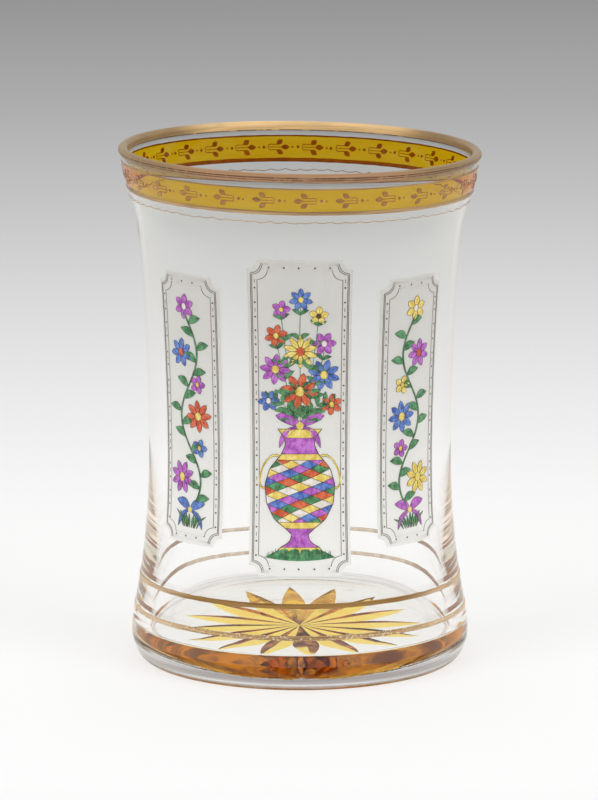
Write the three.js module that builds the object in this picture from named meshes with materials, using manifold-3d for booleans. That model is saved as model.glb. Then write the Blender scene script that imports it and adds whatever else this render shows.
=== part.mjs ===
// A waisted glass beaker with a flared lip and a thick base, its underside cut with a sixteen-rayed star.
// Fired layers lie on the glass: silver stain, gilt lines and hoops, and three enamelled panels.
// Millimetres, +Z up. The origin is the middle of the resting face, and the front is towards -Y.
import * as THREE from "three";
import { mergeVertices, toCreasedNormals } from "three/addons/utils/BufferGeometryUtils.js";
import Module from "manifold-3d";

const wasm = await Module();
wasm.setup();

// Overall size, with the gilding on the lip
const height = 114.65;

// Outside of the glass, from the resting face upwards
const restRadius = 34.3; // outer edge of the flat ring that the beaker stands on
const footRadius = 37.42;
const footTurn = 6.2; // height of the rounded turn under the foot
const waistRadius = 33.45;
const waistHeight = 49;
const shoulderRadius = 35.7;
const shoulderDrop = 18.65; // the flare starts this far under the top
const lipRadius = 39.9;
const lipDrop = 1.05; // the lip is widest this far under the top
const lipWidth = 1.9;
const lipBead = 0.6; // how far the lip's bead stands out over the top of the flare
const neckRadius = lipRadius - lipBead;
const neckDrop = 3.05;
const flareSlope = 0.1; // the wall leans out by this much per millimetre at both ends of the flare

// How far each end of a curve keeps its direction, as a share of that curve's rise
const footEase = 0.15;
const waistEaseBelow = 0.64;
const waistEaseAbove = 0.085;
const shoulderEaseBelow = 0.425;
const shoulderEaseAbove = 0.45;
const neckEase = 0.55;
const beadEase = 0.35;
const wellEaseAbove = 0.7;
const wellEaseBelow = 0.37;

// Inside of the glass
const baseThickness = 6.23; // in the middle
const floorDish = 0.97; // the floor is this much higher at its edge
const wellRadius = 33.7; // where the wall turns in to the floor
const wellSlope = 0.119; // there the wall leans in by this much per millimetre upwards
const cornerReach = 2.3; // how far in that turn reaches
const cornerRise = 0.87; // and how far it rises from the floor
const waistWall = 0.85;
const shoulderWall = 1.2;
const neckWall = 1.5;

// Star cut in the underside: grooves of a V-edged wheel, which run together in the middle
const rayCount = 16;
const rayLength = 28;
const rayDepth = 1.7;
const rayAngle = 120; // between the two sides of a groove
const rayShoulder = rayLength / 2; // a groove keeps its full depth out to here
const rayPhase = -5; // degrees that the first ray is turned from the back
const raySteps = 3;

// Fired layers
const seat = 0.02; // clearance between a layer and what it lies on
const freeSeat = 0.05; // the same under a layer whose back isn't cut to the wall's facets
const stainFilm = 0.06;
const gilding = 0.1;
const enamel = 0.25;

// Gilding on the lip: how far it reaches down outside and inside
const lipGiltOutside = 1.85;
const lipGiltInside = 2;

// Stained band under the lip, and the gilt lines that go with it
const bandDrop = 3.55;
const bandWidth = 4.8;
const topLine = 0.35;
const bottomLine = 0.85;
const scallopGap = 1.75; // from the line under the band to the middle of the scalloped line
const scallopLine = 0.25;
const scallopRise = 0.25;
const scallopCount = 72;
const scallopSteps = 2;

// Trefoil frieze on the band: three buds on stems that meet at the tail
const trefoilCount = 29;
const trefoilPhase = 1.7; // degrees from the front to the first one
const trefoilCrowding = 0.077; // the painter set them closer at the back, by this share
const trefoilLength = 5;
const budLength = 1.75;
const budWidth = 0.95;
const stemWidth = 0.18;
const sideBudReach = 1.3; // from a side bud's root to its tip, along the stem
const sideBudTip = 1.5; // height of a side bud's tip over the middle one
const sideBudRoot = 0.68;
const sideStemLength = 2.2; // from a side bud's root to the tail
const tailRise = 0.72; // half the height of the curl at the tail
const tailDepth = 0.36;

// Gilt hoops round the foot
const hoopWidth = 1.05;
const lowerHoopHeight = 11.65;
const upperHoopHeight = 18.5;

// Enamelled panels, one in front and one at each side of it
const panelFoot = 6; // from the upper hoop to the front panel's lower edge
const panelHead = 8.5; // from the scalloped line to its upper edge
const frontPanelWidth = 22;
const sidePanelWidth = 17.5;
const sidePanelInset = 5; // a side panel is this much shorter at each end
const panelSpacing = 6.5; // clear glass between two panels
const panelCorner = 2.2;
const borderLine = 0.4;
const borderInset = 0.7;

// Facets
const segments = 40;
const footSteps = 4;
const lowerSteps = 5;
const upperSteps = 4;
const flareSteps = 4;
const beadSteps = 2;
const lipSteps = 4;
const cornerSteps = 3;
const floorSteps = 3;
const curveSteps = 3; // on each curve of a painted outline
const creaseAngle = 25; // degrees between two facets that are shaded as one surface
const weldWithin = 1e-4; // corners closer than this are one corner

const tau = 2 * Math.PI;
const radians = THREE.MathUtils.degToRad;
const point = (r, z) => new THREE.Vector2(r, z);

// Heights that the sizes above give
const glassTop = height - gilding;
const shoulder = height - shoulderDrop;
const neck = height - neckDrop;
const lip = height - lipDrop;
const bandTop = height - bandDrop;
const bandBottom = bandTop - bandWidth;
const scallopHeight = bandBottom - bottomLine - scallopGap;
const upperHoopTop = upperHoopHeight + hoopWidth;

// Points of a cubic curve from a to b: each handle is given as an offset from its own end
function curve(a, handleA, handleB, b, steps) {
  const bezier = new THREE.CubicBezierCurve(a, a.clone().add(handleA), b.clone().add(handleB), b);
  return bezier.getPoints(steps);
}

// A handle that rises by a share of a stretch's height and leans out by a slope
const handle = (share, span, slope = 0) => point(slope * share * span, share * span);

// Points of a quarter or half ellipse
function arc(r, z, radiusR, radiusZ, start, end, steps) {
  const ellipse = new THREE.EllipseCurve(r, z, radiusR, radiusZ, start, end, end < start);
  return ellipse.getPoints(steps);
}

const joined = (...stretches) =>
  stretches.flatMap((points, i) => (i === 0 ? points : points.slice(1)));

// Outside outline, from the resting edge up to the widest point of the lip
function outsideOutline() {
  const turn = arc(restRadius, footTurn, footRadius - restRadius, footTurn,
    -Math.PI / 2, 0, footSteps);
  const foot = point(footRadius, footTurn);
  const middle = point(waistRadius, waistHeight);
  const top = point(shoulderRadius, shoulder);
  const neckEdge = point(neckRadius, neck);
  const lipEdge = point(lipRadius, lip);
  const lower = middle.y - foot.y;
  const upper = top.y - middle.y;
  const flare = neckEdge.y - top.y;
  const bead = lipEdge.y - neckEdge.y;
  return joined(
    turn,
    curve(foot, handle(footEase, lower), handle(-waistEaseBelow, lower), middle, lowerSteps),
    curve(middle, handle(waistEaseAbove, upper), handle(-shoulderEaseBelow, upper, flareSlope),
      top, upperSteps),
    curve(top, handle(shoulderEaseAbove, flare, flareSlope), handle(-neckEase, flare, flareSlope),
      neckEdge, flareSteps),
    curve(neckEdge, handle(beadEase, bead, flareSlope), handle(-beadEase, bead), lipEdge, beadSteps),
  );
}

// Over the lip, from its widest point outside to the same height inside
function lipOutline() {
  const half = lipWidth / 2;
  return arc(lipRadius - half, lip, half, glassTop - lip, 0, Math.PI, lipSteps);
}

// Inside outline, from the lip down the wall and across the floor to the axis
function insideOutline() {
  const lipEdge = point(lipRadius - lipWidth, lip);
  const neckEdge = point(neckRadius - neckWall, neck);
  const top = point(shoulderRadius - shoulderWall, shoulder);
  const middle = point(waistRadius - waistWall, waistHeight);
  const floorEdge = point(wellRadius - cornerReach, baseThickness + floorDish);
  const well = point(wellRadius, floorEdge.y + cornerRise);
  const flare = neckEdge.y - top.y;
  const upper = top.y - middle.y;
  const lower = middle.y - well.y;
  const corner = arc(floorEdge.x, well.y, cornerReach, cornerRise, 0, -Math.PI / 2, cornerSteps);
  const floor = new THREE.QuadraticBezierCurve(floorEdge, point(floorEdge.x / 2, baseThickness),
    point(0, baseThickness));
  return joined(
    [lipEdge, neckEdge],
    curve(neckEdge, handle(-neckEase, flare, flareSlope), handle(shoulderEaseAbove, flare, flareSlope),
      top, flareSteps - 1),
    curve(top, handle(-shoulderEaseBelow, upper, flareSlope), handle(waistEaseAbove, upper),
      middle, upperSteps - 1),
    curve(middle, handle(-wellEaseAbove, lower), handle(wellEaseBelow, lower, -wellSlope),
      well, lowerSteps),
    corner,
    floor.getPoints(floorSteps),
  );
}

const outside = outsideOutline();

// Radius of the outside wall at a height, on the same facets as the glass
function wallRadius(z) {
  const next = Math.max(1, outside.findIndex((p) => p.y >= z));
  const above = outside[next];
  const below = outside[next - 1];
  return THREE.MathUtils.mapLinear(z, below.y, above.y, below.x, above.x);
}

// The wall's corners between two heights, moved out by an offset
function wallPoints(bottom, top, offset) {
  const between = outside.filter((p) => p.y > bottom + seat && p.y < top - seat).map((p) => p.y);
  return [bottom, ...between, top].map((z) => point(wallRadius(z) + offset, z));
}

// Turned geometry about the vertical axis, its first facet corner at the front
function turned(profile) {
  return new THREE.LatheGeometry(profile, segments).rotateX(Math.PI / 2);
}

// A ring that lies on the wall, between two heights and two offsets
function wallRing(bottom, top, inner, outer) {
  const face = wallPoints(bottom, top, outer);
  const back = wallPoints(bottom, top, inner).reverse();
  return turned([...face, ...back, face[0]]);
}

// A flat outline wrapped round the wall: x runs along the wall at the girth given, y upwards, and
// radiusAt gives the radius of its back (0) and its face (1) at each height
function wrapped(shape, azimuth, girth, radiusAt) {
  const flat = new THREE.ExtrudeGeometry(shape, {
    depth: 1, bevelEnabled: false, curveSegments: curveSteps,
  });
  const at = flat.attributes.position;
  for (let i = 0; i < at.count; i++) {
    const angle = azimuth + at.getX(i) / girth;
    const r = radiusAt(at.getZ(i), at.getY(i));
    at.setXYZ(i, r * Math.sin(angle), -r * Math.cos(angle), at.getY(i));
  }
  return flat;
}

// The same outline as a layer that follows the wall's facets: a radial block, which reaches well
// inside and outside the wall, cut out of that layer
const blockBack = 0.7;
const blockFace = 1.4;
function cutFrom(layer, shape, azimuth) {
  const reach = (face) => waistRadius * THREE.MathUtils.lerp(blockBack, blockFace, face);
  return geometryOf(solid(wrapped(shape, azimuth, waistRadius, reach)).intersect(layer));
}

// Booleans
function solid(geometry) {
  const bare = new THREE.BufferGeometry();
  bare.setAttribute("position", geometry.attributes.position);
  bare.setIndex(geometry.index);
  const merged = mergeVertices(bare, weldWithin);
  return new wasm.Manifold(new wasm.Mesh({
    numProp: 3,
    vertProperties: new Float32Array(merged.attributes.position.array),
    triVerts: new Uint32Array(merged.index.array),
  }));
}

function geometryOf(body) {
  const mesh = body.getMesh();
  const geometry = new THREE.BufferGeometry();
  geometry.setAttribute("position", new THREE.BufferAttribute(mesh.vertProperties, 3));
  geometry.setIndex(new THREE.BufferAttribute(mesh.triVerts, 1));
  return geometry;
}

// The star: each groove is a wedge whose edge rises from full depth to a point at the ray's tip.
// lowered moves the whole cut down, which gives the two skins of the stain that lines it.
function rayWedge(azimuth, lowered) {
  const below = rayDepth + 1; // the wedge reaches this far under the resting face
  const slope = Math.tan(radians(rayAngle / 2));
  const depthAt = (u) => {
    const past = Math.max(0, (u - rayShoulder) / (rayLength - rayShoulder));
    return rayDepth * (1 - past * past);
  };
  const stations = [0];
  for (let i = 0; i <= raySteps; i++)
    stations.push(THREE.MathUtils.lerp(rayShoulder, rayLength, i / raySteps));
  const corners = [];
  for (const u of stations) {
    const edge = depthAt(u);
    const half = (edge + below) * slope;
    corners.push([u, 0, edge], [u, half, -below], [u, -half, -below]);
  }
  const tip = rayLength + below * slope;
  corners.push([tip, 0, -below]);
  const c = Math.cos(azimuth);
  const s = Math.sin(azimuth);
  const positions = corners.flatMap(([u, v, z]) => [s * u + c * v, c * u - s * v, z - lowered]);
  const faces = [[0, 2, 1]];
  const last = 3 * (stations.length - 1);
  for (let i = 0; i < last; i += 3)
    for (const [a, b] of [[0, 1], [1, 2], [2, 0]])
      faces.push([i + a, i + b, i + 3 + b], [i + a, i + 3 + b, i + 3 + a]);
  faces.push([last, last + 1, last + 3], [last + 1, last + 2, last + 3], [last + 2, last, last + 3]);
  const geometry = new THREE.BufferGeometry();
  geometry.setAttribute("position", new THREE.Float32BufferAttribute(positions, 3));
  geometry.setIndex(faces.flat());
  return geometry;
}

function starCut(lowered) {
  let star = null;
  for (let k = 0; k < rayCount; k++) {
    const wedge = solid(rayWedge(radians(rayPhase) + (tau * k) / rayCount, lowered));
    star = star ? star.add(wedge) : wedge;
  }
  return star;
}

// A disc between the resting face and the middle of the base
function baseDisc() {
  const top = baseThickness / 2;
  return solid(turned([point(0, 0), point(restRadius, 0), point(restRadius, top), point(0, top)]));
}

// A panel's outline: an upright rectangle with a hollow arc cut out of each corner
function panelOutline(width, bottom, top, inset) {
  const x = width / 2 - inset;
  const low = bottom + inset;
  const high = top - inset;
  const r = panelCorner;
  const shape = new THREE.Shape();
  shape.moveTo(-x + r, low);
  shape.lineTo(x - r, low);
  shape.absarc(x, low, r, Math.PI, Math.PI / 2, true);
  shape.lineTo(x, high - r);
  shape.absarc(x, high, r, -Math.PI / 2, -Math.PI, true);
  shape.lineTo(-x + r, high);
  shape.absarc(-x, high, r, 0, -Math.PI / 2, true);
  shape.lineTo(-x, low + r);
  shape.absarc(-x, low, r, Math.PI / 2, 0, true);
  return shape;
}

function borderOutline(width, bottom, top, inset) {
  const shape = panelOutline(width, bottom, top, inset);
  shape.holes.push(panelOutline(width, bottom, top, inset + borderLine));
  return shape;
}

// One bud: a pointed leaf from its root at the stem to its tip, drawn from the stem's upper side
// round to its lower side
function addBud(shape, root, tip) {
  const along = tip.clone().sub(root);
  const across = new THREE.Vector2(along.y, -along.x).normalize();
  const middle = root.clone().add(tip).multiplyScalar(0.5);
  const side = (from, offset) => from.clone().addScaledVector(across, offset);
  const start = side(root, stemWidth / 2);
  const upper = side(middle, budWidth);
  const lower = side(middle, -budWidth);
  const end = side(root, -stemWidth / 2);
  shape.lineTo(start.x, start.y);
  shape.quadraticCurveTo(upper.x, upper.y, tip.x, tip.y);
  shape.quadraticCurveTo(lower.x, lower.y, end.x, end.y);
}

// A trefoil that points to the left, about a height: the upper bud, the middle one and the lower
// one, then the tail
function trefoilOutline(z) {
  const x = trefoilLength / 2;
  const root = x - sideStemLength;
  const shape = new THREE.Shape();
  const sideBud = (side) =>
    addBud(shape, point(root, z + side * sideBudRoot), point(root - sideBudReach, z + side * sideBudTip));
  shape.moveTo(x, z + tailRise);
  sideBud(1);
  shape.lineTo(x - tailDepth, z + tailRise - stemWidth);
  shape.lineTo(x - tailDepth, z + stemWidth / 2);
  addBud(shape, point(budLength - x, z), point(-x, z));
  shape.lineTo(x - tailDepth, z - stemWidth / 2);
  shape.lineTo(x - tailDepth, z - tailRise + stemWidth);
  sideBud(-1);
  shape.lineTo(x, z - tailRise);
  shape.lineTo(x - stemWidth, z);
  return shape;
}

// The object
const group = new THREE.Group();

const finishes = {
  glass: { color: 0xdfe5df, roughness: 0.05, metalness: 0, transparent: true, opacity: 0.35 },
  stain: { color: 0xb8920f, roughness: 0.1, metalness: 0 },
  starStain: { color: 0xe0a040, roughness: 0.15, metalness: 0 },
  gilt: { color: 0xb08a52, roughness: 0.4, metalness: 0.85 },
  ground: { color: 0xd6d2c8, roughness: 0.45, metalness: 0 },
  outline: { color: 0x5a3d28, roughness: 0.5, metalness: 0 },
};

function place(name, geometry, finish) {
  const material = new THREE.MeshStandardMaterial(finishes[finish]);
  const mesh = new THREE.Mesh(toCreasedNormals(geometry, radians(creaseAngle)), material);
  mesh.name = name;
  group.add(mesh);
}

// Glass
const lipArc = lipOutline();
const glassProfile = joined([point(0, 0), point(restRadius, 0)], outside, lipArc, insideOutline());
place("glass_body", geometryOf(solid(turned(glassProfile)).subtract(starCut(0))), "glass");
const starSkin = starCut(seat).subtract(starCut(seat + stainFilm)).intersect(baseDisc());
place("star_stain", geometryOf(starSkin), "starStain");

// Gilding over the lip: the glass outline there, and the same outline moved out by the film
function lipGilding() {
  const start = height - lipGiltOutside;
  const outer = [...wallPoints(start, lip, 0).slice(0, -1), ...lipArc];
  const inner = insideOutline()[1];
  const last = lipArc[lipArc.length - 1];
  const stop = height - lipGiltInside;
  const share = (last.y - stop) / (last.y - inner.y);
  const path = [...outer, last.clone().lerp(inner, share)];
  const moved = (p, i, offset) => {
    const a = path[Math.max(0, i - 1)];
    const b = path[Math.min(path.length - 1, i + 1)];
    const along = b.clone().sub(a).normalize();
    return point(p.x + along.y * offset, p.y - along.x * offset);
  };
  const face = path.map((p, i) => moved(p, i, gilding));
  const back = path.map((p, i) => moved(p, i, seat)).reverse();
  return turned([...face, ...back, face[0]]);
}
place("lip_gilding", lipGilding(), "gilt");

// Stained band and its gilt lines
const giltFace = seat + gilding;
place("stain_band", wallRing(bandBottom + seat, bandTop - seat, seat, seat + stainFilm), "stain");
place("band_top_line", wallRing(bandTop, bandTop + topLine, seat, giltFace), "gilt");
place("band_bottom_line", wallRing(bandBottom - bottomLine, bandBottom, seat, giltFace), "gilt");

// Trefoils round the band
const bandMiddle = (bandBottom + bandTop) / 2;
const trefoilBack = seat + stainFilm + freeSeat;
const onBand = (face, z) => wallRadius(z) + trefoilBack + gilding * face;
for (let k = 0; k < trefoilCount; k++) {
  const even = radians(trefoilPhase) + (tau * k) / trefoilCount;
  const azimuth = even + trefoilCrowding * Math.sin(even);
  const outline = trefoilOutline(bandMiddle);
  place(`trefoil_${k + 1}`, wrapped(outline, azimuth, wallRadius(bandMiddle), onBand), "gilt");
}

// Scalloped line: a narrow ring whose height follows a row of shallow arcs
function scallopedLine() {
  const steps = scallopCount * scallopSteps;
  const positions = [];
  const faces = [];
  const back = freeSeat;
  const face = freeSeat + gilding;
  const corners = [[-1, back], [-1, face], [1, face], [1, back]];
  for (let i = 0; i < steps; i++) {
    const angle = (tau * i) / steps;
    const wave = Math.abs(Math.sin((angle * scallopCount) / 2));
    const z = scallopHeight + scallopRise * (0.5 - wave);
    for (const [side, offset] of corners) {
      const edge = z + (side * scallopLine) / 2;
      const r = wallRadius(edge) + offset;
      positions.push(r * Math.sin(angle), -r * Math.cos(angle), edge);
    }
    for (let k = 0; k < 4; k++) {
      const a = 4 * i + k;
      const b = 4 * i + ((k + 1) % 4);
      const c = 4 * ((i + 1) % steps) + k;
      const d = 4 * ((i + 1) % steps) + ((k + 1) % 4);
      faces.push(a, c, b, b, c, d);
    }
  }
  const geometry = new THREE.BufferGeometry();
  geometry.setAttribute("position", new THREE.Float32BufferAttribute(positions, 3));
  geometry.setIndex(faces);
  return geometry;
}
place("scalloped_line", scallopedLine(), "gilt");

// Hoops
const hoop = (bottom) => wallRing(bottom, bottom + hoopWidth, seat, giltFace);
place("lower_hoop", hoop(lowerHoopHeight), "gilt");
place("upper_hoop", hoop(upperHoopHeight), "gilt");

// Panels: a white ground with two border lines on it
const panelBottom = upperHoopTop + panelFoot;
const panelTop = scallopHeight - panelHead;
const sideAzimuth = (frontPanelWidth / 2 + panelSpacing + sidePanelWidth / 2) / waistRadius;
const panels = [
  { name: "front_panel", azimuth: 0, width: frontPanelWidth, inset: 0 },
  { name: "left_panel", azimuth: -sideAzimuth, width: sidePanelWidth, inset: sidePanelInset },
  { name: "right_panel", azimuth: sideAzimuth, width: sidePanelWidth, inset: sidePanelInset },
];
const groundFace = seat + enamel;
const paintBack = groundFace + seat;
const paintFace = paintBack + gilding;
const groundLayer = solid(wallRing(upperHoopTop, scallopHeight, seat, groundFace));
const paintLayer = solid(wallRing(upperHoopTop, scallopHeight, paintBack, paintFace));
for (const { name, azimuth, width, inset } of panels) {
  const bottom = panelBottom + inset;
  const top = panelTop - inset;
  place(name, cutFrom(groundLayer, panelOutline(width, bottom, top, 0), azimuth), "ground");
  const border = borderOutline(width, bottom, top, borderInset);
  place(`${name}_border`, cutFrom(paintLayer, border, azimuth), "outline");
}

export default group;
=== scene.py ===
"""Looks of a waisted glass beaker: clear glass with a star cut in its base, silver stain, gilding
and enamel.

Lengths are in millimetres, and a mesh turns them into metres; a finish works in metres. An azimuth
is measured from the front, -Y, towards +X.
"""

import bpy
import numpy as np
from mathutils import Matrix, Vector

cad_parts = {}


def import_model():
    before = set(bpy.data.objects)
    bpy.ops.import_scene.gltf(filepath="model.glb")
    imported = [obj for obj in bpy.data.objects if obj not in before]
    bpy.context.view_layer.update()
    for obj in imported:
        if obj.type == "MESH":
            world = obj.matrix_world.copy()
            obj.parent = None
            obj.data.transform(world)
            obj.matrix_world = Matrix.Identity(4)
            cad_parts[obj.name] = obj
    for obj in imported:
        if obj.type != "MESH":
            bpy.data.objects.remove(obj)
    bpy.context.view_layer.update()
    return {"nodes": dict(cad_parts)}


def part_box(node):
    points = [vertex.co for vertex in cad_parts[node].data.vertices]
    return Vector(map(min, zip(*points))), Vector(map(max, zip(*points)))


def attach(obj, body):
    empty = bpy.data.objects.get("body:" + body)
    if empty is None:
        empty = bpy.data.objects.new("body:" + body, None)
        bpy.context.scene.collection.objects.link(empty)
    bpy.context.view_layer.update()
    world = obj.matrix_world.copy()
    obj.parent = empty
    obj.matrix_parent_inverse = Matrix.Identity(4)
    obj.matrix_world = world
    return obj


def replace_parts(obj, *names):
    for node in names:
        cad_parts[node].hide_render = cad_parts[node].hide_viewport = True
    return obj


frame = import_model()

MM = 0.001
TAU = 2 * np.pi

# Outside outline of the glass, from the resting face upwards
REST_RADIUS = 34.3
FOOT_RADIUS = 37.42
FOOT_TURN = 6.2
FOOT_POWER = 1.7
WAIST_RADIUS = 33.45
WAIST_HEIGHT = 49
SHOULDER_RADIUS = 35.7
SHOULDER_HEIGHT = 96
NECK_HEIGHT = 112.7
LIP_RADIUS = 39.9
LIP_HEIGHT = 113.6
LIP_WIDTH = 1.9
GLASS_TOP = 114.55
FLARE_SLOPE = 0.1
LIP_BEAD = 0.49
NECK_RADIUS = LIP_RADIUS - LIP_BEAD

# Inside outline
BASE_THICKNESS = 6.23
FLOOR_DISH = 0.97
WELL_RADIUS = 33.7
WELL_SLOPE = 0.119
CORNER_REACH = 2.3
CORNER_RISE = 0.87
WAIST_WALL = 0.85
SHOULDER_WALL = 1.2
NECK_WALL = 1.5

# Star cut in the underside
RAY_COUNT = 16
RAY_LENGTH = 28
RAY_DEPTH = 1.7
RAY_SHOULDER = 14
RAY_SLOPE = 1 / np.tan(np.radians(60))
RAY_PHASE = np.radians(5)

# The rim of a blown glass is a little out of level: its lean for each millimetre of x and of y, its
# drop, and the heights between which the lean grows
RIM_LEAN_X = -0.0148
RIM_LEAN_Y = -0.0137
RIM_DROP = 0.2
LEAN_FROM = 60
LEAN_TO = 106

# Frieze: its motifs, the first one's azimuth, and how much closer they stand at the back
TREFOIL_COUNT = 29
TREFOIL_PHASE = np.radians(1.7)
TREFOIL_CROWDING = 0.077

# Layers, measured out from the wall: each reaches a little into what it lies on
ROOT = -0.02
GILDING = 0.1
ENAMEL = 0.25
PAINT = 0.1

# Panels, and the vase on the front one
FRONT_WIDTH = 22
SIDE_WIDTH = 17.5
PANEL_GAP = 6.5
PANEL_CORNER = 2.2
VASE_FOOT = 5.0
VASE_HEIGHT = 27.5
VASE_BELLY = 7.6


# Outlines


def bezier(start, start_pull, end_pull, end, count=24):
    """Points of a cubic curve: the two ends and the two pulls, which are offsets from their own end,
    weighted by the four cubic Bernstein terms."""
    t = np.linspace(0, 1, count)[:, None]
    a, d = np.array(start, float), np.array(end, float)
    b, c = a + start_pull, d + end_pull
    return a * (1 - t) ** 3 + 3 * b * t * (1 - t) ** 2 + 3 * c * t**2 * (1 - t) + d * t**3


def stretch(start, end, shares, slopes=(0, 0), count=24):
    """A curve between two points of an outline. Its two pulls go up by shares of the rise between the
    points, and lean out by slopes."""
    rise = end[1] - start[1]
    first, last = [np.array([slope, 1.0]) * share * rise for share, slope in zip(shares, slopes)]
    return bezier(start, first, -last, end, count)


def ellipse(centre, radii, start, end, count):
    """Points of an ellipse between two angles, each its centre plus the radii times cosine and sine."""
    t = np.linspace(start, end, count)
    return np.column_stack([centre[0] + radii[0] * np.cos(t), centre[1] + radii[1] * np.sin(t)])


def foot_curve():
    """Outside of the foot, up from its rest: a quarter of the curve in which the shares of the two
    half axes, each to a set power, add up to one. Below 2 its turn is flatter than an ellipse's."""
    turn = np.linspace(-np.pi / 2, 0, 16)
    across, rise = np.abs([np.cos(turn), np.sin(turn)]) ** (2 / FOOT_POWER)
    return np.column_stack([REST_RADIUS + (FOOT_RADIUS - REST_RADIUS) * across, FOOT_TURN * (1 - rise)])


def normals(path):
    """Unit normals along a path: its direction by differences, turned a quarter to the left."""
    along = np.gradient(path, axis=0)
    return np.column_stack([-along[:, 1], along[:, 0]]) / np.linalg.norm(along, axis=1)[:, None]


def joined(*stretches):
    """Stretches end to end, each without the first point that the one before it ends on."""
    return np.vstack([stretches[0], *[s[1:] for s in stretches[1:]]])


floor_radius = WELL_RADIUS - CORNER_REACH
corner_height = BASE_THICKNESS + FLOOR_DISH + CORNER_RISE
flare = (FLARE_SLOPE, FLARE_SLOPE)
waist, waist_inside = (WAIST_RADIUS, WAIST_HEIGHT), (WAIST_RADIUS - WAIST_WALL, WAIST_HEIGHT)
shoulder = (SHOULDER_RADIUS, SHOULDER_HEIGHT)
shoulder_inside = (SHOULDER_RADIUS - SHOULDER_WALL, SHOULDER_HEIGHT)
neck, neck_inside = (NECK_RADIUS, NECK_HEIGHT), (NECK_RADIUS - NECK_WALL, NECK_HEIGHT)

outside = joined(
    foot_curve(),
    stretch((FOOT_RADIUS, FOOT_TURN), waist, (0.15, 0.64)),
    stretch(waist, shoulder, (0.085, 0.425), (0, FLARE_SLOPE)),
    stretch(shoulder, neck, (0.45, 0.55), flare, 16),
    stretch(neck, (LIP_RADIUS, LIP_HEIGHT), (0.35, 0.35), (FLARE_SLOPE, 0), 6),
)
lip = ellipse((LIP_RADIUS - LIP_WIDTH / 2, LIP_HEIGHT), (LIP_WIDTH / 2, GLASS_TOP - LIP_HEIGHT),
              0, np.pi, 17)
inside = joined(
    np.array([[LIP_RADIUS - LIP_WIDTH, LIP_HEIGHT], neck_inside]),
    stretch(neck_inside, shoulder_inside, (0.55, 0.45), flare, 14),
    stretch(shoulder_inside, waist_inside, (0.425, 0.085), (FLARE_SLOPE, 0)),
    stretch(waist_inside, (WELL_RADIUS, corner_height), (0.7, 0.37), (0, -WELL_SLOPE), 28),
    ellipse((floor_radius, corner_height), (CORNER_REACH, CORNER_RISE), 0, -np.pi / 2, 14),
)


def wall_radius(z):
    """Radius of the outside wall at a height, read off the outline."""
    return np.interp(z, outside[:, 1], outside[:, 0])


def around(radius, azimuth, z):
    """Points at a radius, azimuth and height: radius times sine, minus radius times cosine, height."""
    radius, azimuth, z = np.broadcast_arrays(radius, azimuth, z)
    return np.stack([radius * np.sin(azimuth), -radius * np.cos(azimuth), z], axis=-1)


def circle(count):
    """Azimuths spread evenly all the way round."""
    return np.linspace(0, TAU, count, endpoint=False)


def heights(node):
    """The lowest and the highest point of a CAD node."""
    low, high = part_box(node)
    return low.z / MM, high.z / MM


def leaned(points):
    """Points moved up by the rim's lean: x and y times their leans less the drop, times a smooth step
    of the height, which is 3s squared less 2s cubed."""
    x, y, z = np.asarray(points, float).T
    s = np.clip((z - LEAN_FROM) / (LEAN_TO - LEAN_FROM), 0, 1)
    rise = (RIM_LEAN_X * x + RIM_LEAN_Y * y - RIM_DROP) * s**2 * (3 - 2 * s)
    return np.column_stack([x, y, z + rise])


# Meshes


def placed(name, data):
    """A new object in the scene, with its data."""
    made = bpy.data.objects.new(name, data)
    bpy.context.scene.collection.objects.link(made)
    return made


def piece(name, points, faces, finishes, material_index=None, sharp=None):
    """A mesh from points in millimetres and faces of point numbers, with its finishes."""
    mesh = bpy.data.meshes.new(name)
    mesh.from_pydata((leaned(points) * MM).tolist(), [], faces)
    for finish in finishes:
        mesh.materials.append(finish)
    if material_index is not None:
        mesh.polygons.foreach_set("material_index", np.asarray(material_index, np.int32))
    mesh.polygons.foreach_set("use_smooth", np.ones(len(mesh.polygons), bool))
    if sharp is not None:
        mesh.set_sharp_from_angle(angle=np.radians(sharp))
    mesh.update()
    made = placed(name, mesh)
    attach(made, "root")
    return made


def grid_faces(rows, columns, closed_rows=False, closed_columns=False):
    """Quads of a grid of points: each joins a point to the next in its row and in its column.
    Either direction may close on itself."""
    i, j = np.meshgrid(np.arange(rows if closed_rows else rows - 1),
                       np.arange(columns if closed_columns else columns - 1), indexing="ij")
    below, right = (i + 1) % rows, (j + 1) % columns
    quads = np.stack([i * columns + j, i * columns + right, below * columns + right,
                      below * columns + j], axis=-1)
    return quads.reshape(-1, 4)


def fan(count, first, middle):
    """Triangles from each point of a ring and its next to a point in the middle."""
    j = np.arange(count)
    return np.column_stack([first + j, first + (j + 1) % count, np.full(count, middle)])


def flipped(faces):
    """The same faces turned to the other side."""
    return faces[:, ::-1]


# Shader maths

GLASS_IOR = 1.5


def operator(operation, reflected=False):
    """The method of a Python operator, which adds its Math node."""
    def method(self, other):
        return self.math(operation, *((other, self) if reflected else (self, other)))
    return method


class Wire:
    """A shader output that takes part in Python expressions."""

    def __init__(self, finish, socket):
        self.finish, self.socket = finish, socket

    def math(self, operation, *values):
        return self.finish.node("ShaderNodeMath", {"operation": operation}, dict(enumerate(values)))

    __add__ = __radd__ = operator("ADD")
    __mul__ = __rmul__ = operator("MULTIPLY")
    __sub__, __rsub__ = operator("SUBTRACT"), operator("SUBTRACT", True)
    __truediv__, __rtruediv__ = operator("DIVIDE"), operator("DIVIDE", True)
    __pow__ = operator("POWER")

    def ramp(self, low, high):
        """0 up to low, 1 from high, and a smooth step between; high may be the lower of the two."""
        return self.finish.node("ShaderNodeMapRange", {"interpolation_type": "SMOOTHSTEP"},
                                {"Value": self, "From Min": low, "From Max": high})


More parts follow.
